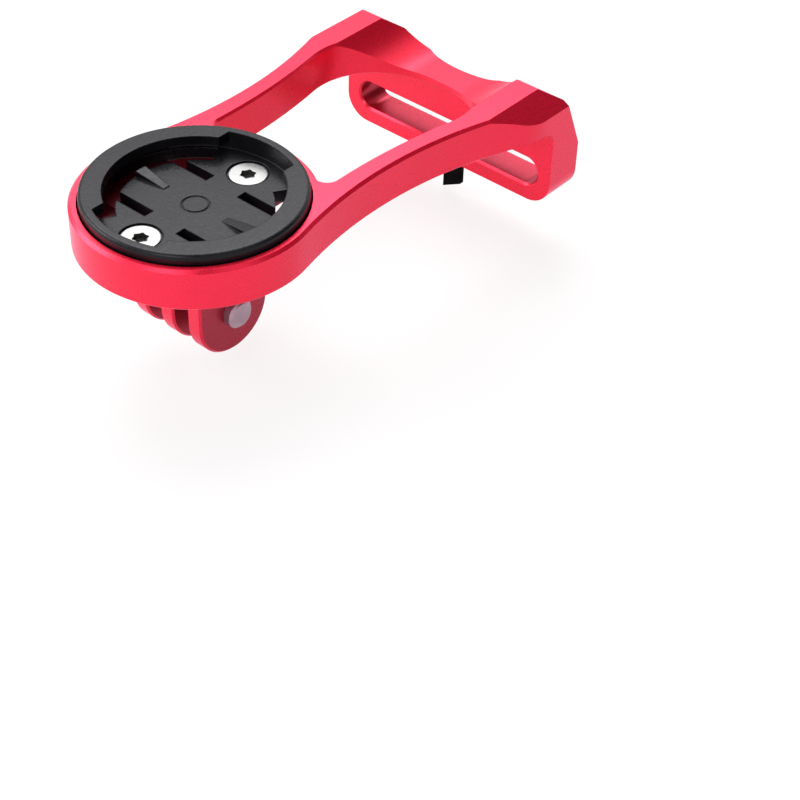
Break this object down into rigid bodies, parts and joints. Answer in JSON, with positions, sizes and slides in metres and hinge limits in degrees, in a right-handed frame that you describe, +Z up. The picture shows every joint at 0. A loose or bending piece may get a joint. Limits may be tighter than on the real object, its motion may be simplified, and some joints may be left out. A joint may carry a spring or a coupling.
{
  "type": "bike computer mount",
  "caption": "Out-front handlebar stem mount for a bike computer: round head with a quarter-turn bayonet insert, camera prongs, waisted arms and a slotted stem foot.",
  "frame": {"origin": "centre of the stem bolt slot on the stem contact plane", "axes": "+Z up, square to the flat top face; +Y towards the stem, so the head is at -Y; X across the bike"},
  "size_m": [0.0472, 0.0903, 0.033],
  "materials": {
    "anodised_red": "satin anodised",
    "black_nylon": "satin moulded",
    "screw_steel": "bright zinc plated",
    "bolt_steel": "brushed stainless",
    "black_rubber": "matt"
  },
  "bodies": {
    "bracket": {"bracket_body": "anodised_red", "bayonet_insert": "black_nylon", "insert_screws": "screw_steel", "pivot_washer": "bolt_steel", "foot_tab": "black_rubber"},
    "clamp_bolt": {"pivot_bolt": "bolt_steel"}
  },
  "joints": [
    {"name": "bolt_turn", "type": "hinge", "parent": "bracket", "child": "clamp_bolt", "pos_m": [0, -0.07065, -0.00085], "axis": [1, 0, 0], "continuous": true}
  ]
}
